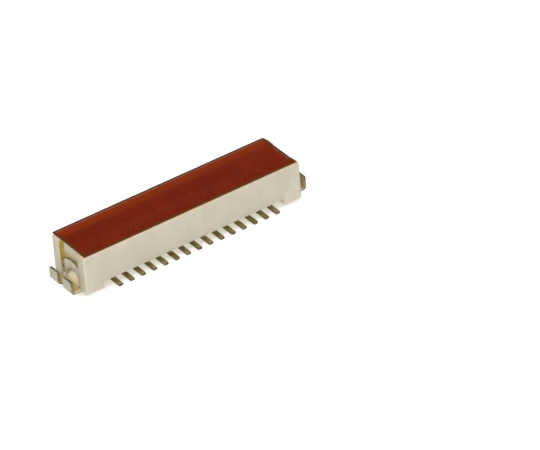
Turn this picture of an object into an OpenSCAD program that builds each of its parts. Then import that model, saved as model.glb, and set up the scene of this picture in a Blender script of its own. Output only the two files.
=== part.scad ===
// Board-to-board pin header: two staggered rows of contacts on a centre tongue inside a moulded
// shroud, with a metal hold-down at each end and a pick-up tape over the mouth.
// X runs along the rows, the front row is at -Y, and z = 0 is the surface of the board.

/* [Contact rows] */
// Distance between neighbouring contacts of one row
pitch = 1.0; // [0.8:0.05:1.25]
// Contacts in the front row; the rear row has one more and is half a pitch over
front_count = 15; // [7:1:25]

/* [Housing] */
// From the last rear contact to the end face of the housing
end_reach = 2.1; // [2.0:0.05:3.0]
// Width of the housing across the rows
body_w = 4.2; // [4.0:0.05:5.0]
// Height of the rim above the board
rim_z = 3.17; // [2.9:0.05:4.0]
// Thickness of the long side walls
side_wall = 0.62; // [0.45:0.01:0.7]
// Thickness of the wall between the cavity and an end pocket
end_wall = 0.75; // [0.5:0.05:0.85]
// Height of the cavity floor above the board
floor_z = 0.95; // [0.7:0.05:1.2]
// Height of the floor's underside above the board
base_z = 0.1; // [0.05:0.01:0.15]
// Height of the side walls' underside above the board
relief_z = 0.55; // [0.3:0.05:0.65]
// Length of a corner foot along the rows
foot_len = 1.55; // [1.3:0.05:1.6]
// Radius of the upright corner edges
corner_r = 0.1; // [0.05:0.05:0.4]
// Radius of the outer edges at the feet
foot_edge_r = 0.08; // [0.02:0.02:0.3]
// Radius of the outer edges at the rim
rim_edge_r = 0.07; // [0.02:0.01:0.12]
// Radius of the inner corners of the cavity and the reliefs
inner_r = 0.15; // [0.05:0.05:0.25]

/* [Centre tongue] */
// Thickness of the tongue across the rows
tongue_t = 0.96; // [0.8:0.02:1.2]
// Depth of the tongue's top below the rim
tongue_drop = 0.52; // [0.4:0.01:1.0]
// Length of the tongue past the last rear contact
tongue_past = 0.4; // [0.3:0.05:0.5]
// Radius of the tongue's top edges
tongue_edge_r = 0.12; // [0.05:0.01:0.2]
// Depth of the grooves that hold the contacts
groove_d = 0.1; // [0.05:0.01:0.2]

/* [Contacts] */
// Width of a contact along the rows
contact_w = 0.36; // [0.25:0.01:0.45]
// Thickness of the contact strip
contact_t = 0.2; // [0.12:0.01:0.25]
// Inner radius of the contact's bend
contact_bend_r = 0.1; // [0.05:0.01:0.15]
// Height of a pin's tip above the tongue's top
pin_past = 0.15; // [0.05:0.01:0.3]
// Width of the bevels beside a pin's tip
pin_bevel = 0.08; // [0.02:0.01:0.1]
// Length of a lead past the side wall
lead_past = 0.635; // [0.4:0.01:0.9]
// Free play beside a contact in its slot
contact_play = 0.02; // [0.01:0.01:0.04]

/* [Side windows] */
// Width of a window along the rows
window_w = 0.8; // [0.5:0.05:0.9]
// Height of a window's top above the board
window_z = 1.75; // [1.4:0.05:2.2]
// Pitches from the last rear contact to the middle of a window
window_place = 2.5; // [1.5:1:3.5]

/* [End pockets and bosses] */
// Width of an end pocket across the rows
pocket_w = 2.5; // [2.4:0.05:2.7]
// Depth of an end pocket along the rows
pocket_d = 0.4; // [0.35:0.01:0.45]
// Diameter of a locating boss
boss_d = 1.15; // [0.9:0.05:1.3]
// From the end face of the housing to a boss's axis
boss_inset = 0.6; // [0.5:0.05:0.7]
// Length of a boss below the board's surface
boss_len = 0.5; // [0.4:0.05:0.8]
// Radius of the edge at a boss's tip
boss_tip_r = 0.2; // [0.1:0.05:0.3]
// Diameter of the wider root of a boss inside the pocket
boss_root_d = 1.5; // [1.45:0.05:1.6]
// Height of that root above the board
boss_root_z = 1.0; // [0.95:0.05:1.1]
// Radius of that root's domed top
boss_root_r = 0.7; // [0.6:0.02:0.7]

/* [Hold-downs] */
// Thickness of the sheet
hold_t = 0.2; // [0.15:0.01:0.25]
// Inner radius of the sheet's bends
hold_bend_r = 0.1; // [0.05:0.01:0.15]
// Width of the foot across the rows
hold_foot_w = 2.84; // [2.5:0.02:3.2]
// Reach of the lip past the end face of the housing
hold_reach = 0.9; // [0.8:0.01:1.2]
// Height of the two tabs of the lip above the board
tab_z = 1.15; // [0.9:0.05:1.5]
// Radius of the tabs' outer shoulders
tab_r = 0.12; // [0.05:0.01:0.3]
// Width of the notch between the tabs
tab_gap = 0.66; // [0.4:0.02:0.9]
// Radius of the tabs' inner corners
sheet_r = 0.12; // [0.05:0.01:0.15]
// Height of the plate in the pocket above the board, in its middle
plate_z = 1.82; // [1.7:0.01:2.2]
// Rise of the plate's top edge from its sides to its middle
plate_rise = 0.26; // [0.1:0.01:0.3]
// Gap between the plate and each side of the pocket
plate_gap = 0.2; // [0.15:0.01:0.3]
// Bite of the plate's ears into the sides of the pocket
ear_bite = 0.15; // [0.1:0.01:0.25]
// Height of the lower edge of the ears above the board
ear_z = 0.9; // [0.7:0.05:1.0]
// Height of the ears themselves
ear_h = 0.45; // [0.3:0.05:0.5]
// Free play around the ears and past the end face
hold_play = 0.02; // [0.01:0.01:0.04]
// Gap between a boss's root and the cut in the foot
boss_gap = 0.1; // [0.05:0.01:0.15]
// Gap between a boss's root and the arched cut in the plate
arch_gap = 0.03; // [0.02:0.01:0.06]
// Radius of the cut in the foot
foot_cut_r = 1.2; // [1.1:0.05:1.5]

/* [Pick-up tape] */
// Thickness of the tape
tape_t = 0.07; // [0.04:0.01:0.12]
// Length of bare rim left at each end
tape_end_gap = 0.18; // [0.1:0.01:0.5]
// How much wider the tape is than the housing
tape_wider = 0.06; // [0.02:0.01:0.2]
// How far the tape sits towards the rear
tape_shift = 0.15; // [0:0.01:0.2]

/* [Hidden] */
// Fineness of every round edge
$fn = 48;
// Overshoot that lets each cut clear the face it opens
eps = 0.05;
// Tall enough for any cut to pass the whole part
tall = rim_z + boss_len;

rear_count = front_count + 1;
rear_half = (rear_count - 1) * pitch / 2;
front_half = (front_count - 1) * pitch / 2;

body_len = 2 * (rear_half + end_reach);
body_x = body_len / 2;
body_y = body_w / 2;
cavity_y = body_y - side_wall;
pocket_x = body_x - pocket_d;
cavity_x = pocket_x - end_wall;
relief_x = body_x - foot_len;
window_x = rear_half - window_place * pitch;
boss_x = body_x - boss_inset;

tongue_x = rear_half + tongue_past;
tongue_z = rim_z - tongue_drop;
pin_z = tongue_z + pin_past;
floor_mid_z = (base_z + floor_z) / 2;
pin_y = tongue_t / 2 - groove_d;
bend_y = pin_y + contact_t + contact_bend_r;
bend_z = contact_t + contact_bend_r;
lead_y = body_y + lead_past;

plate_x = pocket_x + hold_t;
hold_bend_z = hold_t + hold_bend_r;
inner_bend_x = plate_x + hold_bend_r;
lip_x = body_x + hold_reach;
outer_bend_x = lip_x - hold_bend_z;
shoulder_x = body_x + hold_play;
plate_y = pocket_w / 2 - plate_gap;
ear_y = pocket_w / 2 + ear_bite;
tab_y = hold_foot_w / 2;
plate_top_r = arc_radius(plate_y, plate_rise);
root_flat_r = boss_root_d / 2 - boss_root_r;
arch_r = norm([root_flat_r, boss_root_z - boss_root_r - hold_bend_z]) + boss_root_r + arch_gap;
foot_cut_end_x = boss_x + boss_root_d / 2 + boss_gap;

tape_len = body_len - 2 * tape_end_gap;
tape_w = body_w + tape_wider;

// The radius of an arc that rises by rise over a chord of half length half
function arc_radius(half, rise) = (half * half + rise * rise) / (2 * rise);
function two_digits(i) = i < 10 ? str("0", i) : str(i);
function front_name(i) = str("front_contact_", two_digits(i));
function rear_name(i) = str("rear_contact_", two_digits(i));

// A flat outline in Y and Z, drawn out along X by len about the middle
module along_x(len) {
    rotate([90, 0, 90]) linear_extrude(len, center = true) children();
}

// A flat outline in X and Z, drawn out along Y by len about the middle
module along_y(len) {
    rotate([90, 0, 0]) linear_extrude(len, center = true) children();
}

// A rectangle between two corners
module rect(low, high) {
    translate(low) square(high - low);
}

// A rectangle between two corners, with its own radius at the lower and at the upper corners
module soft_rect(low, high, low_r, high_r) {
    union() {
        rect([low.x, low.y + low_r], [high.x, high.y - high_r]);
        rect([low.x + low_r, low.y], [high.x - low_r, low.y + low_r]);
        rect([low.x + high_r, high.y - high_r], [high.x - high_r, high.y]);
        for (x = [low.x + low_r, high.x - low_r]) translate([x, low.y + low_r]) circle(low_r);
        for (x = [low.x + high_r, high.x - high_r]) translate([x, high.y - high_r]) circle(high_r);
    }
}

// A quarter of a bent strip, from its inner radius r and its thickness t, turned by angle
module bend(r, t, angle) {
    rotate(angle) intersection() {
        difference() {
            circle(r + t);
            circle(r);
        }
        square(r + t);
    }
}

// Both ends or both sides of what is drawn once
module both(axis) {
    children();
    mirror(axis) children();
}

// The moulding's outer form, with soft edges on every side
module housing_block() {
    intersection() {
        linear_extrude(rim_z)
            soft_rect([-body_x, -body_y], [body_x, body_y], corner_r, corner_r);
        along_y(body_w) soft_rect([-body_x, 0], [body_x, rim_z], foot_edge_r, rim_edge_r);
        along_x(body_len) soft_rect([-body_y, 0], [body_y, rim_z], foot_edge_r, rim_edge_r);
    }
}

// The mouth that the mating half enters
module mating_cavity() {
    translate([0, 0, floor_z]) linear_extrude(rim_z)
        soft_rect([-cavity_x, -cavity_y], [cavity_x, cavity_y], inner_r, inner_r);
}

// Room under the floor and, higher, under the long walls between the corner feet
module underside_reliefs() {
    both([0, 1, 0]) translate([0, cavity_y + body_y / 2, 0])
        along_y(body_y) soft_rect([-relief_x, -relief_z], [relief_x, relief_z], inner_r, inner_r);
    translate([-relief_x, -cavity_y, -base_z]) cube([2 * relief_x, 2 * cavity_y, 2 * base_z]);
    translate([-body_x, -pocket_w / 2, -base_z]) cube([body_len, pocket_w, 2 * base_z]);
}

// The open pocket in one end, with a slot in each side for the ears of the hold-down
module end_pocket() {
    slot_h = ear_z + ear_h + hold_play;
    slot_y = ear_y + hold_play;
    slot_d = hold_t + hold_play;
    translate([pocket_x, -pocket_w / 2, -eps]) cube([pocket_d + eps, pocket_w, tall]);
    translate([pocket_x, -slot_y, -eps]) cube([slot_d, 2 * slot_y, slot_h + eps]);
}

// A notch through the rear wall, open at the wall's lower edge
module side_window() {
    translate([window_x - window_w / 2, cavity_y - eps, 0])
        cube([window_w, side_wall + 2 * eps, window_z]);
}

// The centre tongue, rooted in the floor and rounded along its top
module tongue() {
    along_x(2 * tongue_x) soft_rect([-tongue_t / 2, floor_mid_z], [tongue_t / 2, tongue_z],
        tongue_edge_r, tongue_edge_r);
}

// A round post on the board's surface, with a soft upper edge
module soft_post(r, h, edge_r) {
    rotate_extrude() union() {
        rect([0, 0], [r, h - edge_r]);
        rect([0, h - edge_r], [r - edge_r, h]);
        intersection() {
            translate([r - edge_r, h - edge_r]) circle(edge_r);
            rect([r - edge_r, h - edge_r], [r, h]);
        }
    }
}

// A locating boss that goes down into the board, and its wider root up in the end pocket
module boss() {
    translate([boss_x, 0, 0]) union() {
        mirror([0, 0, 1]) soft_post(boss_d / 2, boss_len, boss_tip_r);
        soft_post(boss_root_d / 2, boss_root_z, boss_root_r);
    }
}

// The groove, slot and channel that one contact of the rear side lies in
module contact_room() {
    along_x(contact_w + 2 * contact_play) union() {
        rect([pin_y, -eps], [bend_y + contact_play, tongue_z + eps]);
        rect([pin_y, -eps], [cavity_y + eps, contact_t]);
    }
}

// The places of the front and rear contacts along X
function front_x(i) = (i - 1) * pitch - front_half;
function rear_x(i) = (i - 1) * pitch - rear_half;

module housing() {
    color("#d8cfb8") difference() {
        union() {
            difference() {
                housing_block();
                mating_cavity();
                underside_reliefs();
                both([1, 0, 0]) end_pocket();
                both([1, 0, 0]) side_window();
            }
            tongue();
            both([1, 0, 0]) boss();
        }
        for (i = [1 : rear_count]) translate([rear_x(i), 0, 0]) contact_room();
        for (i = [1 : front_count]) translate([front_x(i), 0, 0]) mirror([0, 1, 0]) contact_room();
    }
}

module pickup_tape() {
    color("#7a2312") translate([-tape_len / 2, tape_shift - tape_w / 2, rim_z])
        cube([tape_len, tape_w, tape_t]);
}

// One contact of the rear side: a pin up the tongue, a bend, and a lead out under the wall
module contact() {
    tip_r = contact_t / 2;
    color("#8c7a45") intersection() {
        along_x(contact_w) union() {
            rect([pin_y, bend_z], [pin_y + contact_t, pin_z - tip_r]);
            translate([pin_y + tip_r, pin_z - tip_r]) circle(tip_r);
            translate([bend_y, bend_z]) bend(contact_bend_r, contact_t, 180);
            rect([bend_y, 0], [lead_y, contact_t]);
        }
        along_y(2 * lead_y + 2 * eps)
            polygon([
                [-contact_w / 2, -eps],
                [contact_w / 2, -eps],
                [contact_w / 2, pin_z - 2 * pin_bevel],
                [contact_w / 2 - pin_bevel, pin_z],
                [pin_bevel - contact_w / 2, pin_z],
                [-contact_w / 2, pin_z - 2 * pin_bevel]
            ]);
    }
}

module rear_contact(i) {
    translate([rear_x(i), 0, 0]) contact();
}

module front_contact(i) {
    translate([front_x(i), 0, 0]) mirror([0, 1, 0]) contact();
}

// The bent section of a hold-down: plate, foot and lip, in X and Z
module hold_down_section() {
    rect([pocket_x, hold_bend_z], [plate_x, plate_z]);
    translate([inner_bend_x, hold_bend_z]) bend(hold_bend_r, hold_t, 180);
    rect([inner_bend_x, 0], [outer_bend_x, hold_t]);
    translate([outer_bend_x, hold_bend_z]) bend(hold_bend_r, hold_t, 270);
    rect([lip_x - hold_t, hold_bend_z], [lip_x, tab_z]);
}

// The widths of a hold-down's plate, with its arched top and its ears, in Y and Z
module plate_outline() {
    union() {
        intersection() {
            rect([-plate_y, -eps], [plate_y, plate_z + eps]);
            translate([0, plate_z - plate_top_r]) circle(plate_top_r);
        }
        rect([-ear_y, ear_z], [ear_y, ear_z + ear_h]);
    }
}

// One tab of the lip, with its two upper corners rounded, in Y and Z
module tab_outline() {
    tab_low_y = tab_gap / 2;
    union() {
        rect([tab_low_y, 0], [tab_y, tab_z - tab_r]);
        rect([tab_low_y, 0], [tab_y - tab_r, tab_z - sheet_r]);
        rect([tab_low_y + sheet_r, 0], [tab_y - tab_r, tab_z]);
        translate([tab_y - tab_r, tab_z - tab_r]) circle(tab_r);
        translate([tab_low_y + sheet_r, tab_z - sheet_r]) circle(sheet_r);
    }
}

// The widths of a hold-down's foot and tabs, in Y and Z
module lip_outline() {
    union() {
        rect([-hold_foot_w / 2, -eps], [hold_foot_w / 2, hold_bend_z]);
        both([1, 0, 0]) tab_outline();
    }
}

// The opening around a boss: an arch through the plate, ended by a round cut in the foot
module boss_opening() {
    arch_len = lip_x - pocket_x;
    intersection() {
        translate([pocket_x - eps + arch_len / 2, 0, 0]) along_x(arch_len) union() {
            translate([0, hold_bend_z]) circle(arch_r);
            rect([-arch_r, -eps], [arch_r, hold_bend_z]);
        }
        translate([foot_cut_end_x - foot_cut_r, 0, -eps]) linear_extrude(tall) circle(foot_cut_r);
    }
}

// A hold-down at the right end
module hold_down() {
    color("#b4b1a6") difference() {
        intersection() {
            along_y(2 * hold_foot_w) hold_down_section();
            union() {
                translate([shoulder_x / 2, 0, 0]) along_x(shoulder_x) plate_outline();
                translate([shoulder_x + hold_reach / 2, 0, 0]) along_x(hold_reach) lip_outline();
            }
        }
        boss_opening();
        translate([outer_bend_x, -tab_gap / 2, -eps]) cube([hold_reach, tab_gap, tall]);
    }
}

module right_hold_down() {
    hold_down();
}

module left_hold_down() {
    mirror([1, 0, 0]) hold_down();
}

housing();
pickup_tape();
left_hold_down();
right_hold_down();
for (i = [1 : front_count]) front_contact(i);
for (i = [1 : rear_count]) rear_contact(i);
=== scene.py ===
# Looks of a surface-mount pin header: finishes, fine edges, light and camera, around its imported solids.
# Lengths in the modelling functions are millimetres, and each finished piece is then brought to metres.
import math

import bmesh
import bpy
from mathutils import Matrix, Vector


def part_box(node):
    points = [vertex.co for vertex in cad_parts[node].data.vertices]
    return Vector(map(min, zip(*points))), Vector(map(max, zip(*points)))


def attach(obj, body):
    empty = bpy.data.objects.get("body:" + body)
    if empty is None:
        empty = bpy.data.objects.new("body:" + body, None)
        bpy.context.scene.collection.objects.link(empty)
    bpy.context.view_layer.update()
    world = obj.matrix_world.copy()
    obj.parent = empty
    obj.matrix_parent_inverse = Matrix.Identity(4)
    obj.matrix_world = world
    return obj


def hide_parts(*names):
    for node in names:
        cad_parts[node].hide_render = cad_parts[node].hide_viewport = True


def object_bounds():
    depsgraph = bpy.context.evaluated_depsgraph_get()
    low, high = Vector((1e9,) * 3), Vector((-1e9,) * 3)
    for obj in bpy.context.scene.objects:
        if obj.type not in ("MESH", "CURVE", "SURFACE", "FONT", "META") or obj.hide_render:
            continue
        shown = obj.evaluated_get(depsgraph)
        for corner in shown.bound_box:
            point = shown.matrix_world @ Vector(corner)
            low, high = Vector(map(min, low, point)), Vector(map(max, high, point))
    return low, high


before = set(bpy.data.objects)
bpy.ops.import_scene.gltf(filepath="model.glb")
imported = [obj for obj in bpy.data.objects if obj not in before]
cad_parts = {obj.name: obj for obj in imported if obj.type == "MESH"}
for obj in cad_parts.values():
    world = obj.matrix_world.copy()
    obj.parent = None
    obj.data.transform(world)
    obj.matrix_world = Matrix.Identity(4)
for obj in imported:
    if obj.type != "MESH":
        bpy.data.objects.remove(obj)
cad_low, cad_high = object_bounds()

MM = 0.001
IMAGE_SIZE = (540, 450)

# The photograph's camera, in degrees, metres and pixels
VIEW_AZIMUTH = -31.35
VIEW_ELEVATION = 34.40
VIEW_ROLL = -5.48
VIEW_DISTANCE = 0.40324
PIXELS_PER_MM = 13.585
ORIGIN_PIXEL = (179.56, 233.65)
SENSOR_WIDTH = 36.0

# How far a face's normal lies along an axis
SLIGHTLY = 0.1
HALFWAY = 0.5
MOSTLY = 0.7
NEARLY = 0.9
SQUARELY = 0.95

# Angles in degrees between faces that lie flat, shade as one, or meet at a sharp edge
FLAT_ANGLE = 1
SMOOTH_ANGLE = 40
SHARP_ANGLE = 35
FILM_SHARP_ANGLE = 60

# Points within the first distance are joined, and lengths within the second count as the same
MERGE_DISTANCE = 0.0005
SAME_LENGTH = 0.001

# The formed contact strip
CONTACT_THICKNESS = 0.2
CONTACT_BEND_RADIUS = 0.1
CONTACT_BEND_STEPS = 8
PIN_TIP_BEVEL = 0.08
PIN_TIP_ROUND_SHARE = 0.48
PIN_TIP_ROUND_STEPS = 4
COINED_EDGE = 0.025
GOLD_START = 1.0
GOLD_FULL = 1.6
LEAD_METALLIC = 1.0
PIN_METALLIC = 0.2

# Rounds on the edges that the moulding and the bent sheets have beyond their main radii
MOULDED_EDGE = 0.035
# Depth under the rim over which a painted warm glow fades in
PAINTED_RIM_GLOW_DEPTH = 0.2
SHEET_EDGE = 0.03
EDGE_STEPS = 2

# The sheet of a hold-down, where its upright parts start, and the arch of its plate over the boss
CLIP_THICKNESS = 0.2
CLIP_UPRIGHT_START = 0.31
ARCH_HALF_WIDTH = 1.0
ARCH_OUTER_X = 9.7
ARCH_TOP = 1.4

# The pick-up film lies on its glue, a little clear of the rim, and hangs over the mouth
GLUE_GAP = 0.006
FILM_EDGE = 0.012
FILM_CELLS = (60, 14)
FILM_SAG = 0.03
MOUTH_HALF_LENGTH = 8.0
MOUTH_HALF_WIDTH = 1.2

# The film has painted light towards its rear, and along its edges it is darker brown and less see-through
FILM_COVER = 0.66
FILM_REAR_LIGHT_START = 1.0
FILM_REAR_LIGHT_FULL = 1.5
FILM_DARK_EDGE_WIDTH = 0.1
FILM_DARK_EDGE_FADE = 0.2
FILM_DARK_EDGE_COVER = 0.96

# Patches and grain of every finish
PATCH_DETAIL = 3.0
PATCH_LOW = 0.35
PATCH_HIGH = 0.65
GRAIN_DETAIL = 2.0

# Tints that do not fill a box
# Painted warm glow of the film's red light near the rim
PAINTED_RIM_GLOW_TINT = (0.85, 0.58, 0.38, 1)
GOLD_TINT = (1.0, 0.92, 0.76, 1)
# Painted light, paler towards the film's rear
FILM_REAR_LIGHT_TINT = (0.385, 0.040, 0.004, 1)
# Darker brown along the film's edges
FILM_DARK_EDGE_TINT = (0.125, 0.047, 0.008, 1)

# Painted light, shade and reflections, and one darker patch, each in a soft-edged box that is the same at
# both ends and on both sides
# Painted golden light and shade, on the side and the inner wall of the moulding's end pockets
PAINTED_POCKET_SIDE_GLOW = {
    "tint": (0.40, 0.28, 0.05, 1),
    "middle": (9.35, 1.3, 1.9),
    "core": (0.16, 0.08, 0.9),
    "half": (0.22, 0.2, 1.4),
}
# Painted golden light, on the inner wall of the end pockets
PAINTED_POCKET_WALL_GLOW = {
    "tint": (0.46, 0.38, 0.15, 1),
    "middle": (9.2, 0.3, 1.7),
    "core": (0.08, 0.8, 0.15),
    "half": (0.2, 1.2, 0.75),
}
# Painted warm shade and bounced light, on the root of a locating boss
PAINTED_BOSS_ROOT_SHADE = {
    "tint": (0.75, 0.645, 0.34, 1),
    "middle": (9.45, 0, 0),
    "core": (0.3, 0.6, 0.4),
    "half": (0.5, 1.1, 1.1),
}
# Darker, on the rim top under the film
DARKER_RIM_UNDER_FILM = {
    "tint": (0.47, 0.42, 0.27, 1),
    "middle": (0, 0, 3.2),
    "core": (9.1, 1.9, 0.1),
    "half": (9.3, 2.05, 0.16),
}
# Painted golden reflection, on top of a hold-down's foot and inside its tabs
PAINTED_FOOT_TOP_REFLECTION = {
    "tint": (0.68, 0.55, 0.25, 1),
    "middle": (10.0, 0, 0.4),
    "core": (0.32, 1.3, 0.75),
    "half": (0.42, 1.5, 1.1),
}
# Painted darker reflection, on the outer faces of the tabs
PAINTED_TAB_FACE_REFLECTION = {
    "tint": (0.495, 0.455, 0.338, 1),
    "middle": (10.54, 0, 0.7),
    "core": (0, 2, 2),
    "half": (0.2, 3, 3),
}
# Painted highlight, along the upper half of the sheared side of the foot
PAINTED_FOOT_SIDE_HIGHLIGHT = {
    "tint": (0.85, 0.78, 0.58, 1),
    "middle": (9.88, 1.42, 0.18),
    "core": (0.27, 0.1, 0.05),
    "half": (0.36, 0.2, 0.09),
}

# Half heights of a box that only its sides limit
DEEP_CORE = 1
DEEP_HALF = 2

# Studio light, in metres and watts
KEY_PLACE = (-0.17, -0.2, 0.27)
KEY_SIZE = (0.36, 0.36)
KEY_POWER = 1.43
REAR_PLACE = (0.14, 0.33, 0.05)
REAR_SIZE = (0.4, 0.08)
REAR_POWER = 0.5
FILL_SIDE = (-0.52, -0.82, 0.25)
FILL = 0.5
SURROUND = 0.08

# The lit table, which the camera sees as plain white around the part
TABLE_SIZE = 2.0
TABLE_SHADE = (0.6, 0.6, 0.6, 1)
TABLE_ROUGHNESS = 0.9
TABLE_GLOW = (0.3, 0.3, 0.3, 1)
TABLE_WHITE = (0.8, 0.8, 0.8, 1)
# Painted shadow on the table under the part, as the camera sees it
TABLE_PAINTED_SHADOW = (0.45, 0.428, 0.36, 1)

# How far inside the part's box the painted shadow on the table under it is darkest, and where the table is
# white again
PAINTED_SHADOW_INSET = (1.0, 1.4)
WHITE_INSET = (0.5, 0.6)


def sizes(node):
    """The low and high corners of a CAD node, in millimetres."""
    low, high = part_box(node)
    return low / MM, high / MM


def nothing_selected():
    """Leaves edit mode and deselects every object."""
    if bpy.context.mode != "OBJECT":
        bpy.ops.object.mode_set(mode="OBJECT")
    bpy.ops.object.select_all(action="DESELECT")


def only(obj):
    """Makes this object the one that is active and selected."""
    nothing_selected()
    obj.select_set(True)
    bpy.context.view_layer.objects.active = obj


def unpicked(obj):
    """The mesh of an object in edit mode, with nothing in it selected."""
    bm = bmesh.from_edit_mesh(obj.data)
    for element in (*bm.verts, *bm.edges, *bm.faces):
        element.select = False
    return bm


def pick_faces(obj, test):
    """Selects the faces whose middle and normal pass the test, in edit mode."""
    bm = unpicked(obj)
    for face in bm.faces:
        if test(face.calc_center_median(), face.normal):
            face.select_set(True)
    bm.select_flush_mode()
    bmesh.update_edit_mesh(obj.data)


def pick_edges(obj, test):
    """Selects the edges whose two ends pass the test, in edit mode."""
    bm = unpicked(obj)
    for edge in bm.edges:
        if test(edge.verts[0].co, edge.verts[1].co):
            edge.select_set(True)
    bmesh.update_edit_mesh(obj.data)


def modifier(obj, kind, **settings):
    """Adds a modifier, sets it and applies it."""
    only(obj)
    made = obj.modifiers.new(kind.lower(), kind)
    for name, value in settings.items():
        setattr(made, name, value)
    bpy.ops.object.modifier_apply(modifier=made.name)


def soften_edges(obj, width, angle=SHARP_ANGLE):
    """Rounds the sharp edges and smooths the shading across the rounds."""
    modifier(
        obj,
        "BEVEL",
        width=width,
        segments=EDGE_STEPS,
        limit_method="ANGLE",
        angle_limit=math.radians(angle),
        harden_normals=False,
    )
    only(obj)
    bpy.ops.object.shade_smooth_by_angle(angle=math.radians(SMOOTH_ANGLE))


def merge_and_face_out(obj):
    """Joins doubled points and turns every face outwards."""
    only(obj)
    bpy.ops.object.mode_set(mode="EDIT")
    bpy.ops.mesh.select_all(action="SELECT")
    bpy.ops.mesh.remove_doubles(threshold=MERGE_DISTANCE)
    bpy.ops.mesh.normals_make_consistent(inside=False)
    bpy.ops.object.mode_set(mode="OBJECT")


def to_metres(obj):
    """Brings a piece that was modelled in millimetres to metres, with its place in its mesh."""
    only(obj)
    obj.scale = (MM, MM, MM)
    bpy.ops.object.transform_apply(location=True, rotation=True, scale=True)


def wear(obj, face_finish, cut_finish=None):
    """Gives a piece its finish, and a second one for the faces that mark_cut_faces marks."""
    obj.data.materials.clear()
    obj.data.materials.append(face_finish)
    if cut_finish:
        obj.data.materials.append(cut_finish)


def mark_cut_faces(obj, test):
    """Puts the faces whose middle and normal pass the test in the second material slot."""
    for face in obj.data.polygons:
        face.material_index = 1 if test(face.center, face.normal) else 0


def stand_for(obj, node):
    """Puts a finished piece in the place of a CAD node, on the part's one body."""
    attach(obj, "root")
    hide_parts(node)


def whole_copy(node, name):
    """A copy of a CAD solid, in millimetres, with its points joined and its flat faces made whole."""
    nothing_selected()
    piece = bpy.data.objects.new(name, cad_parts[node].data.copy())
    bpy.context.scene.collection.objects.link(piece)
    piece.data.transform(Matrix.Scale(1 / MM, 4))
    merge_and_face_out(piece)
    bpy.ops.object.mode_set(mode="EDIT")
    bpy.ops.mesh.select_all(action="SELECT")
    bpy.ops.mesh.dissolve_limited(angle_limit=math.radians(FLAT_ANGLE))
    bpy.ops.object.mode_set(mode="OBJECT")
    return piece


def shroud(finish):
    """The moulding, with its edges a little rounded."""
    piece = whole_copy("housing", "shroud")
    wear(piece, finish)
    soften_edges(piece, MOULDED_EDGE)
    to_metres(piece)
    stand_for(piece, "housing")


def end_clip(side, face_finish, cut_finish):
    """A bent sheet hold-down: faces across the sheet are sheared edges, except in the plate's arch."""
    node = f"{side}_hold_down"
    piece = whole_copy(node, f"{side}_clip")
    wear(piece, face_finish, cut_finish)

    def is_cut(middle, normal):
        at_side = abs(normal.y) > SLIGHTLY
        at_top = abs(normal.z) > HALFWAY and middle.z > CLIP_UPRIGHT_START
        in_foot = abs(normal.x) > SQUARELY and middle.z < CLIP_THICKNESS
        beside_boss = abs(middle.y) < ARCH_HALF_WIDTH and abs(middle.x) < ARCH_OUTER_X
        in_arch = beside_boss and middle.z < ARCH_TOP
        return (at_side or at_top or in_foot) and not in_arch

    mark_cut_faces(piece, is_cut)
    soften_edges(piece, SHEET_EDGE)
    to_metres(piece)
    stand_for(piece, node)


def formed_contact(face_finish, cut_finish):
    """One contact of the rear row, at X = 0: a flat lead, a bend up and a pin with a round tip."""
    low, high = sizes("rear_contact_01")
    width = high.x - low.x
    bend_y = low.y + CONTACT_THICKNESS + CONTACT_BEND_RADIUS
    bend_z = CONTACT_THICKNESS + CONTACT_BEND_RADIUS
    lead_length = high.y - bend_y
    taper_z = high.z - 2 * PIN_TIP_BEVEL
    tip_z = high.z - SAME_LENGTH
    nothing_selected()
    bpy.ops.mesh.primitive_cube_add(
        size=1,
        location=(0, bend_y + lead_length / 2, CONTACT_THICKNESS / 2),
        scale=(width, lead_length, CONTACT_THICKNESS),
    )
    contact = bpy.context.object
    contact.name = "formed_contact"
    bpy.ops.object.transform_apply(location=True, rotation=True, scale=True)
    bpy.ops.object.mode_set(mode="EDIT")
    pick_faces(contact, lambda middle, normal: normal.y < -NEARLY)
    bpy.ops.mesh.spin(
        steps=CONTACT_BEND_STEPS,
        angle=math.radians(90),
        center=(0, bend_y, bend_z),
        axis=(1, 0, 0),
    )
    bpy.ops.mesh.extrude_region_move(TRANSFORM_OT_translate={"value": (0, 0, taper_z - bend_z)})
    bpy.ops.mesh.extrude_region_move(TRANSFORM_OT_translate={"value": (0, 0, high.z - taper_z)})
    bpy.ops.transform.resize(value=((width - 2 * PIN_TIP_BEVEL) / width, 1, 1))
    pick_edges(contact, lambda a, b: min(a.z, b.z) > tip_z and abs(a.y - b.y) < SAME_LENGTH)
    bpy.ops.mesh.bevel(
        offset=PIN_TIP_ROUND_SHARE * CONTACT_THICKNESS,
        segments=PIN_TIP_ROUND_STEPS,
        affect="EDGES",
    )
    bpy.ops.object.mode_set(mode="OBJECT")
    merge_and_face_out(contact)
    wear(contact, face_finish, cut_finish)

    def is_cut(middle, normal):
        at_side = abs(normal.x) > MOSTLY
        at_end = normal.y > NEARLY and middle.z < bend_z
        return at_side or at_end

    mark_cut_faces(contact, is_cut)
    soften_edges(contact, COINED_EDGE)
    to_metres(contact)
    return contact


def contact_rows(face_finish, cut_finish):
    """Both rows: the rear contacts are copies moved along X, the front ones are turned half round first."""
    master = formed_contact(face_finish, cut_finish)
    for node in sorted(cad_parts):
        if "_contact_" not in node:
            continue
        low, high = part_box(node)
        turn = math.pi if node.startswith("front") else 0.0
        place = Matrix.Translation(((low.x + high.x) / 2, 0, 0)) @ Matrix.Rotation(turn, 4, "Z")
        piece = bpy.data.objects.new(node.replace("contact", "pin"), master.data.copy())
        bpy.context.scene.collection.objects.link(piece)
        piece.data.transform(place)
        stand_for(piece, node)
    bpy.data.objects.remove(master)


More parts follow.
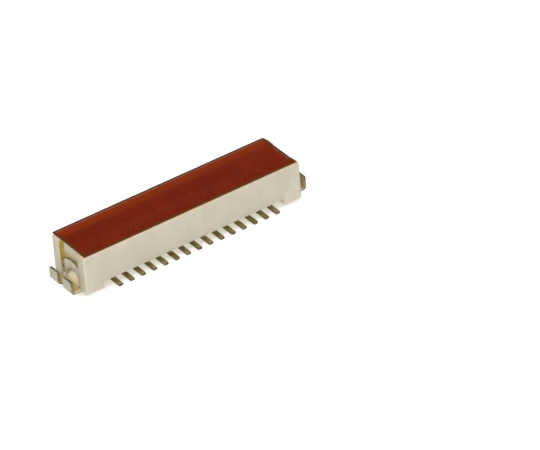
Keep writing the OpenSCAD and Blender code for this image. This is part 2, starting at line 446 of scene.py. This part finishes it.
def pick_up_film(face_finish, cut_finish):
    """The tape over the mouth: a thin film that is flat on the rim and hangs a little over the cavity."""
    low, high = sizes("pickup_tape")
    nothing_selected()
    bpy.ops.mesh.primitive_grid_add(
        x_subdivisions=FILM_CELLS[0],
        y_subdivisions=FILM_CELLS[1],
        size=1,
        location=((low.x + high.x) / 2, (low.y + high.y) / 2, high.z),
    )
    film = bpy.context.object
    film.name = "amber_film"
    film.scale = (high.x - low.x, high.y - low.y, 1)
    bpy.ops.object.transform_apply(location=True, rotation=True, scale=True)
    for point in film.data.vertices:
        along = max(0.0, 1 - (point.co.x / MOUTH_HALF_LENGTH) ** 4)
        across = max(0.0, 1 - (point.co.y / MOUTH_HALF_WIDTH) ** 2)
        point.co.z -= FILM_SAG * along * across
    modifier(film, "SOLIDIFY", thickness=high.z - low.z - GLUE_GAP, offset=-1)
    wear(film, face_finish, cut_finish)
    mark_cut_faces(film, lambda middle, normal: abs(normal.z) < HALFWAY)
    soften_edges(film, FILM_EDGE, FILM_SHARP_ANGLE)
    to_metres(film)
    stand_for(film, "pickup_tape")


# Finishes

def new_finish(name):
    """A material with one shader, its tree and that shader."""
    finish = bpy.data.materials.new(name)
    finish.use_nodes = True
    tree = finish.node_tree
    tree.nodes.clear()
    output = tree.nodes.new("ShaderNodeOutputMaterial")
    shader = tree.nodes.new("ShaderNodeBsdfPrincipled")
    tree.links.new(shader.outputs["BSDF"], output.inputs["Surface"])
    return finish, tree, shader


def mottle_group():
    """Soft patches and fine grain, as a colour, a roughness and a height that vary over the surface."""
    group = bpy.data.node_groups.new("mottle", "ShaderNodeTree")
    face = group.interface
    for name, kind in (
        ("Dark", "NodeSocketColor"),
        ("Light", "NodeSocketColor"),
        ("Patch scale", "NodeSocketFloat"),
        ("Grain scale", "NodeSocketFloat"),
        ("Smooth", "NodeSocketFloat"),
        ("Rough", "NodeSocketFloat"),
        ("Stretch", "NodeSocketVector"),
    ):
        face.new_socket(name, in_out="INPUT", socket_type=kind)
    for name, kind in (
        ("Color", "NodeSocketColor"),
        ("Roughness", "NodeSocketFloat"),
        ("Height", "NodeSocketFloat"),
    ):
        face.new_socket(name, in_out="OUTPUT", socket_type=kind)
    nodes, links = group.nodes, group.links
    inputs = nodes.new("NodeGroupInput")
    outputs = nodes.new("NodeGroupOutput")
    place = nodes.new("ShaderNodeTexCoord")
    stretch = nodes.new("ShaderNodeVectorMath")
    stretch.operation = "MULTIPLY"
    patch = nodes.new("ShaderNodeTexNoise")
    patch.inputs["Detail"].default_value = PATCH_DETAIL
    grain = nodes.new("ShaderNodeTexNoise")
    grain.inputs["Detail"].default_value = GRAIN_DETAIL
    spread = nodes.new("ShaderNodeMapRange")
    spread.inputs["From Min"].default_value = PATCH_LOW
    spread.inputs["From Max"].default_value = PATCH_HIGH
    colour = nodes.new("ShaderNodeMix")
    colour.data_type = "RGBA"
    rough = nodes.new("ShaderNodeMapRange")
    links.new(place.outputs["Object"], stretch.inputs[0])
    links.new(inputs.outputs["Stretch"], stretch.inputs[1])
    links.new(stretch.outputs["Vector"], patch.inputs["Vector"])
    links.new(stretch.outputs["Vector"], grain.inputs["Vector"])
    links.new(inputs.outputs["Patch scale"], patch.inputs["Scale"])
    links.new(inputs.outputs["Grain scale"], grain.inputs["Scale"])
    links.new(patch.outputs["Fac"], spread.inputs["Value"])
    links.new(spread.outputs["Result"], colour.inputs["Factor"])
    links.new(inputs.outputs["Dark"], colour.inputs["A"])
    links.new(inputs.outputs["Light"], colour.inputs["B"])
    links.new(grain.outputs["Fac"], rough.inputs["Value"])
    links.new(inputs.outputs["Smooth"], rough.inputs["To Min"])
    links.new(inputs.outputs["Rough"], rough.inputs["To Max"])
    links.new(colour.outputs["Result"], outputs.inputs["Color"])
    links.new(rough.outputs["Result"], outputs.inputs["Roughness"])
    links.new(grain.outputs["Fac"], outputs.inputs["Height"])
    return group


def mottled(tree, shader, group, bump, **values):
    """Places the mottle group in a material with its own values, feeds its polish and relief to the shader,
    and returns its colour."""
    mottle = tree.nodes.new("ShaderNodeGroup")
    mottle.node_tree = group
    for name, value in values.items():
        mottle.inputs[name.replace("_", " ").capitalize()].default_value = value
    relief = tree.nodes.new("ShaderNodeBump")
    relief.inputs["Strength"].default_value = 1.0
    relief.inputs["Distance"].default_value = bump * MM
    tree.links.new(mottle.outputs["Roughness"], shader.inputs["Roughness"])
    tree.links.new(mottle.outputs["Height"], relief.inputs["Height"])
    tree.links.new(relief.outputs["Normal"], shader.inputs["Normal"])
    return mottle.outputs["Color"]


def inside_group():
    """A soft-edged box around a middle: Outside is 0 within its core and rises to 1 at its half size."""
    group = bpy.data.node_groups.new("inside_box", "ShaderNodeTree")
    face = group.interface
    for name in ("Vector", "Middle", "Core half size", "Half size"):
        face.new_socket(name, in_out="INPUT", socket_type="NodeSocketVector")
    face.new_socket("Outside", in_out="OUTPUT", socket_type="NodeSocketFloat")
    nodes, links = group.nodes, group.links
    inputs = nodes.new("NodeGroupInput")
    outputs = nodes.new("NodeGroupOutput")
    steps = {}
    for name, operation in (
        ("offset", "SUBTRACT"),
        ("reach", "ABSOLUTE"),
        ("beyond", "SUBTRACT"),
        ("border", "SUBTRACT"),
        ("rise", "DIVIDE"),
    ):
        steps[name] = nodes.new("ShaderNodeVectorMath")
        steps[name].operation = operation
    split = nodes.new("ShaderNodeSeparateXYZ")
    flat_most = nodes.new("ShaderNodeMath")
    flat_most.operation = "MAXIMUM"
    most = nodes.new("ShaderNodeMath")
    most.operation = "MAXIMUM"
    most.use_clamp = True
    links.new(inputs.outputs["Vector"], steps["offset"].inputs[0])
    links.new(inputs.outputs["Middle"], steps["offset"].inputs[1])
    links.new(steps["offset"].outputs["Vector"], steps["reach"].inputs[0])
    links.new(steps["reach"].outputs["Vector"], steps["beyond"].inputs[0])
    links.new(inputs.outputs["Core half size"], steps["beyond"].inputs[1])
    links.new(inputs.outputs["Half size"], steps["border"].inputs[0])
    links.new(inputs.outputs["Core half size"], steps["border"].inputs[1])
    links.new(steps["beyond"].outputs["Vector"], steps["rise"].inputs[0])
    links.new(steps["border"].outputs["Vector"], steps["rise"].inputs[1])
    links.new(steps["rise"].outputs["Vector"], split.inputs["Vector"])
    links.new(split.outputs["X"], flat_most.inputs[0])
    links.new(split.outputs["Y"], flat_most.inputs[1])
    links.new(flat_most.outputs["Value"], most.inputs[0])
    links.new(split.outputs["Z"], most.inputs[1])
    links.new(most.outputs["Value"], outputs.inputs["Outside"])
    return group


def outside_box(tree, group, place, middle, core, half):
    """Places the box group in a material. Sizes are millimetres."""
    box = tree.nodes.new("ShaderNodeGroup")
    box.node_tree = group
    for name, value in (("Middle", middle), ("Core half size", core), ("Half size", half)):
        box.inputs[name].default_value = [length * MM for length in value]
    tree.links.new(place, box.inputs["Vector"])
    return box.outputs["Outside"]


def object_place(tree):
    """Where a point of the surface lies, in the part's frame."""
    return tree.nodes.new("ShaderNodeTexCoord").outputs["Object"]


def rise_along(tree, axis, start, full):
    """Rises from 0 to 1 between two places along an axis, in millimetres."""
    split = tree.nodes.new("ShaderNodeSeparateXYZ")
    mask = tree.nodes.new("ShaderNodeMapRange")
    mask.inputs["From Min"].default_value = start * MM
    mask.inputs["From Max"].default_value = full * MM
    tree.links.new(object_place(tree), split.inputs["Vector"])
    tree.links.new(split.outputs[axis], mask.inputs["Value"])
    return mask.outputs["Result"]


def between(tree, mask, start, full):
    """A value that goes from one number to another as the mask goes from 0 to 1."""
    value = tree.nodes.new("ShaderNodeMapRange")
    value.inputs["To Min"].default_value = start
    value.inputs["To Max"].default_value = full
    tree.links.new(mask, value.inputs["Value"])
    return value.outputs["Result"]


def tinted(tree, colour, tint, amount):
    """Mixes a varying colour towards a tint by a varying amount."""
    mix = tree.nodes.new("ShaderNodeMix")
    mix.data_type = "RGBA"
    mix.inputs["B"].default_value = tint
    tree.links.new(amount, mix.inputs["Factor"])
    tree.links.new(colour, mix.inputs["A"])
    return mix.outputs["Result"]


def tinted_in_box(tree, group, colour, boxed_tint):
    """Tints a colour within a soft-edged box, at both ends and on both sides; the boxes hold painted light,
    shade and reflections, and one darker patch.
    """
    folded = tree.nodes.new("ShaderNodeVectorMath")
    folded.operation = "ABSOLUTE"
    tree.links.new(object_place(tree), folded.inputs[0])
    outside = outside_box(
        tree, group, folded.outputs["Vector"],
        middle=boxed_tint["middle"], core=boxed_tint["core"], half=boxed_tint["half"],
    )
    within = tree.nodes.new("ShaderNodeMath")
    within.operation = "SUBTRACT"
    within.inputs[0].default_value = 1.0
    tree.links.new(outside, within.inputs[1])
    return tinted(tree, colour, boxed_tint["tint"], within.outputs["Value"])


def cream_moulding(mottle, inside):
    """Satin cream plastic, with painted golden light and shade deep in the end pockets and at the boss roots,
    a painted warm glow near the rim under the film, and darker on the rim top under the film.
    """
    finish, tree, shader = new_finish("cream_moulding")
    shader.inputs["IOR"].default_value = 1.5
    shader.inputs["Specular IOR Level"].default_value = 0.25
    colour = mottled(
        tree, shader, mottle, bump=0.002,
        dark=(0.60, 0.553, 0.43, 1), light=(0.655, 0.603, 0.48, 1),
        patch_scale=700, grain_scale=14000, smooth=0.42, rough=0.6, stretch=(1, 1, 1),
    )
    # Painted golden light and shade in the end pockets, and painted warm shade at the boss roots
    for boxed_tint in (PAINTED_POCKET_SIDE_GLOW, PAINTED_POCKET_WALL_GLOW, PAINTED_BOSS_ROOT_SHADE):
        colour = tinted_in_box(tree, inside, colour, boxed_tint)
    # Painted warm glow over the top of the moulding, near the film
    rim_z = cad_high.z / MM
    painted_rim_glow = rise_along(tree, "Z", rim_z - PAINTED_RIM_GLOW_DEPTH, rim_z)
    colour = tinted(tree, colour, PAINTED_RIM_GLOW_TINT, painted_rim_glow)
    # Darker on the rim top under the film
    colour = tinted_in_box(tree, inside, colour, DARKER_RIM_UNDER_FILM)
    tree.links.new(colour, shader.inputs["Base Color"])
    return finish


def olive_gold_plate(mottle):
    """Olive on the leads, and pale matt gold on the pins, where the mating half touches them."""
    finish, tree, shader = new_finish("olive_gold_plate")
    gold = rise_along(tree, "Z", GOLD_START, GOLD_FULL)
    colour = mottled(
        tree, shader, mottle, bump=0.002,
        dark=(0.27, 0.212, 0.075, 1), light=(0.54, 0.44, 0.23, 1),
        patch_scale=2500, grain_scale=16000, smooth=0.2, rough=0.4, stretch=(1, 0.35, 0.35),
    )
    colour = tinted(tree, colour, GOLD_TINT, gold)
    tree.links.new(colour, shader.inputs["Base Color"])
    tree.links.new(between(tree, gold, LEAD_METALLIC, PIN_METALLIC), shader.inputs["Metallic"])
    return finish


def sheared_bronze(mottle):
    """The dull brown core that shows where a contact's strip was cut."""
    finish, tree, shader = new_finish("sheared_bronze")
    shader.inputs["Metallic"].default_value = 0.6
    colour = mottled(
        tree, shader, mottle, bump=0.002,
        dark=(0.13, 0.102, 0.04, 1), light=(0.25, 0.205, 0.10, 1),
        patch_scale=3000, grain_scale=18000, smooth=0.45, rough=0.65, stretch=(1, 1, 0.3),
    )
    tree.links.new(colour, shader.inputs["Base Color"])
    return finish


def tin_plate(mottle, inside):
    """Matt tin, with a painted golden reflection on top of the foot and inside the tabs, and a painted darker
    reflection on their outer faces.
    """
    finish, tree, shader = new_finish("tin_plate")
    shader.inputs["Metallic"].default_value = 0.4
    colour = mottled(
        tree, shader, mottle, bump=0.002,
        dark=(0.58, 0.535, 0.43, 1), light=(0.76, 0.72, 0.62, 1),
        patch_scale=1800, grain_scale=12000, smooth=0.26, rough=0.44, stretch=(0.35, 1, 0.35),
    )
    # Painted reflections on the foot's top and on the tabs' outer faces
    for boxed_tint in (PAINTED_FOOT_TOP_REFLECTION, PAINTED_TAB_FACE_REFLECTION):
        colour = tinted_in_box(tree, inside, colour, boxed_tint)
    tree.links.new(colour, shader.inputs["Base Color"])
    return finish


def sheared_tin_and_shade(mottle, inside):
    """A hold-down's cut edges: brown, partly the bare sheared metal and partly painted shade and dark
    reflection, with a painted highlight along the upper half of the foot's sides.
    """
    finish, tree, shader = new_finish("sheared_tin_and_shade")
    shader.inputs["Metallic"].default_value = 0.5
    # Dark brown base: bare sheared metal, darkened further as painted shade and dark reflection
    colour = mottled(
        tree, shader, mottle, bump=0.003,
        dark=(0.17, 0.14, 0.065, 1), light=(0.38, 0.32, 0.18, 1),
        patch_scale=2600, grain_scale=16000, smooth=0.24, rough=0.42, stretch=(1, 1, 0.5),
    )
    # Painted highlight along the upper half of the foot's sides
    colour = tinted_in_box(tree, inside, colour, PAINTED_FOOT_SIDE_HIGHLIGHT)
    tree.links.new(colour, shader.inputs["Base Color"])
    return finish


def amber_film(mottle, inside):
    """A see-through film: its own dark red gloss over what shows through it, with painted light towards its
    rear, darker brown along its edges.
    """
    low, high = sizes("pickup_tape")
    half = (high - low) / 2
    inner_x = half.x - FILM_DARK_EDGE_WIDTH
    inner_y = half.y - FILM_DARK_EDGE_WIDTH
    finish, tree, shader = new_finish("amber_film")
    shader.inputs["Specular IOR Level"].default_value = 0.2
    colour = mottled(
        tree, shader, mottle, bump=0.0005,
        dark=(0.258, 0.0165, 0.0005, 1), light=(0.328, 0.0220, 0.0005, 1),
        patch_scale=500, grain_scale=5000, smooth=0.08, rough=0.16, stretch=(1, 1, 1),
    )
    # Painted light, paler towards the film's rear
    pale = rise_along(tree, "Y", FILM_REAR_LIGHT_START, FILM_REAR_LIGHT_FULL)
    colour = tinted(tree, colour, FILM_REAR_LIGHT_TINT, pale)
    # Darker brown and less see-through along the film's edges
    dark_edge = outside_box(
        tree, inside, object_place(tree),
        middle=(low + high) / 2,
        core=(inner_x - FILM_DARK_EDGE_FADE, inner_y - FILM_DARK_EDGE_FADE, DEEP_CORE),
        half=(inner_x, inner_y, DEEP_HALF),
    )
    colour = tinted(tree, colour, FILM_DARK_EDGE_TINT, dark_edge)
    tree.links.new(colour, shader.inputs["Base Color"])
    tree.links.new(between(tree, dark_edge, FILM_COVER, FILM_DARK_EDGE_COVER), shader.inputs["Alpha"])
    return finish


def cut_film(mottle):
    """The film's cut edge, dark brown and dull."""
    finish, tree, shader = new_finish("cut_film")
    shader.inputs["Specular IOR Level"].default_value = 0.1
    colour = mottled(
        tree, shader, mottle, bump=0.001,
        dark=(0.12, 0.026, 0.005, 1), light=(0.17, 0.042, 0.009, 1),
        patch_scale=1500, grain_scale=9000, smooth=0.5, rough=0.7, stretch=(1, 1, 1),
    )
    tree.links.new(colour, shader.inputs["Base Color"])
    return finish


# Stage

def lit_table(inside):
    """White to the camera around the part, with a painted shadow under it, and dimmer in the light that the
    table gives back.
    """
    finish, tree, shader = new_finish("lit_table")
    shader.inputs["Base Color"].default_value = TABLE_SHADE
    shader.inputs["Roughness"].default_value = TABLE_ROUGHNESS
    shader.inputs["Emission Strength"].default_value = 1.0
    reach_x = cad_high.x / MM
    reach_y = cad_high.y / MM
    around = outside_box(
        tree, inside, object_place(tree),
        middle=(0, 0, 0),
        core=(reach_x - PAINTED_SHADOW_INSET[0], reach_y - PAINTED_SHADOW_INSET[1], DEEP_CORE),
        half=(reach_x - WHITE_INSET[0], reach_y - WHITE_INSET[1], DEEP_HALF),
    )
    # Painted shadow under the part, white around it
    seen = tree.nodes.new("ShaderNodeMix")
    seen.data_type = "RGBA"
    seen.inputs["A"].default_value = TABLE_PAINTED_SHADOW
    seen.inputs["B"].default_value = TABLE_WHITE
    glow = tree.nodes.new("ShaderNodeMix")
    glow.data_type = "RGBA"
    glow.inputs["A"].default_value = TABLE_GLOW
    ray = tree.nodes.new("ShaderNodeLightPath")
    tree.links.new(around, seen.inputs["Factor"])
    tree.links.new(ray.outputs["Is Camera Ray"], glow.inputs["Factor"])
    tree.links.new(seen.outputs["Result"], glow.inputs["B"])
    tree.links.new(glow.outputs["Result"], shader.inputs["Emission Color"])
    return finish


def pale_floor(finish):
    """A wide table at the tips of the bosses."""
    nothing_selected()
    bpy.ops.mesh.primitive_plane_add(size=TABLE_SIZE, location=(0, 0, cad_low.z))
    floor = bpy.context.object
    floor.name = "pale_floor"
    floor.data.materials.append(finish)


def lit_panel(name, place, size, power):
    """A panel of light that faces the part."""
    lamp = bpy.data.lights.new(name, "AREA")
    lamp.shape = "RECTANGLE"
    lamp.size = size[0]
    lamp.size_y = size[1]
    lamp.energy = power
    panel = bpy.data.objects.new(name, lamp)
    panel.location = place
    bpy.context.scene.collection.objects.link(panel)
    panel.rotation_euler = (-panel.location).to_track_quat("-Z", "Y").to_euler()


def soft_light():
    """A wide soft box overhead, a low panel behind, and a surround that is brighter in front of the part."""
    world = bpy.data.worlds.new("studio")
    bpy.context.scene.world = world
    world.use_nodes = True
    tree = world.node_tree
    backdrop = tree.nodes["Background"]
    backdrop.inputs["Color"].default_value = (1, 1, 1, 1)
    place = tree.nodes.new("ShaderNodeTexCoord")
    towards = tree.nodes.new("ShaderNodeVectorMath")
    towards.operation = "DOT_PRODUCT"
    towards.inputs[1].default_value = FILL_SIDE
    tree.links.new(place.outputs["Generated"], towards.inputs[0])
    tree.links.new(between(tree, towards.outputs["Value"], SURROUND, FILL), backdrop.inputs["Strength"])
    lit_panel("soft_box", KEY_PLACE, KEY_SIZE, KEY_POWER)
    lit_panel("rear_panel", REAR_PLACE, REAR_SIZE, REAR_POWER)


def photo_camera():
    """A long lens at the photograph's viewing angle, turned so that the part's origin is at its own pixel."""
    azimuth = math.radians(VIEW_AZIMUTH)
    elevation = math.radians(VIEW_ELEVATION)
    roll = math.radians(VIEW_ROLL)
    back = Vector((
        math.sin(azimuth) * math.cos(elevation),
        -math.cos(azimuth) * math.cos(elevation),
        math.sin(elevation),
    ))
    level = Vector((math.cos(azimuth), math.sin(azimuth), 0))
    right = math.cos(roll) * level + math.sin(roll) * back.cross(level)
    up = back.cross(right)
    focal_pixels = PIXELS_PER_MM * VIEW_DISTANCE / MM
    aside = (IMAGE_SIZE[0] / 2 - ORIGIN_PIXEL[0]) / focal_pixels
    above = (ORIGIN_PIXEL[1] - IMAGE_SIZE[1] / 2) / focal_pixels
    backwards = (back - aside * right - above * up).normalized()
    right = (right - right.dot(backwards) * backwards).normalized()
    up = backwards.cross(right)
    lens = bpy.data.cameras.new("photo_camera")
    lens.sensor_width = SENSOR_WIDTH
    lens.lens = focal_pixels / IMAGE_SIZE[0] * SENSOR_WIDTH
    lens.clip_start = 0.01
    lens.clip_end = 10
    camera = bpy.data.objects.new("photo_camera", lens)
    bpy.context.scene.collection.objects.link(camera)
    place = Matrix((right, up, backwards)).transposed().to_4x4()
    place.translation = back * VIEW_DISTANCE
    camera.matrix_world = place
    bpy.context.scene.camera = camera


def build():
    """Makes the pieces in their finishes, and the stage around them."""
    mottle = mottle_group()
    inside = inside_group()
    tin = tin_plate(mottle, inside)
    tin_edge_and_shade = sheared_tin_and_shade(mottle, inside)
    shroud(cream_moulding(mottle, inside))
    for side in ("left", "right"):
        end_clip(side, tin, tin_edge_and_shade)
    contact_rows(olive_gold_plate(mottle), sheared_bronze(mottle))
    pick_up_film(amber_film(mottle, inside), cut_film(mottle))
    pale_floor(lit_table(inside))
    soft_light()
    photo_camera()
    bpy.context.scene.view_settings.view_transform = "Standard"


build()
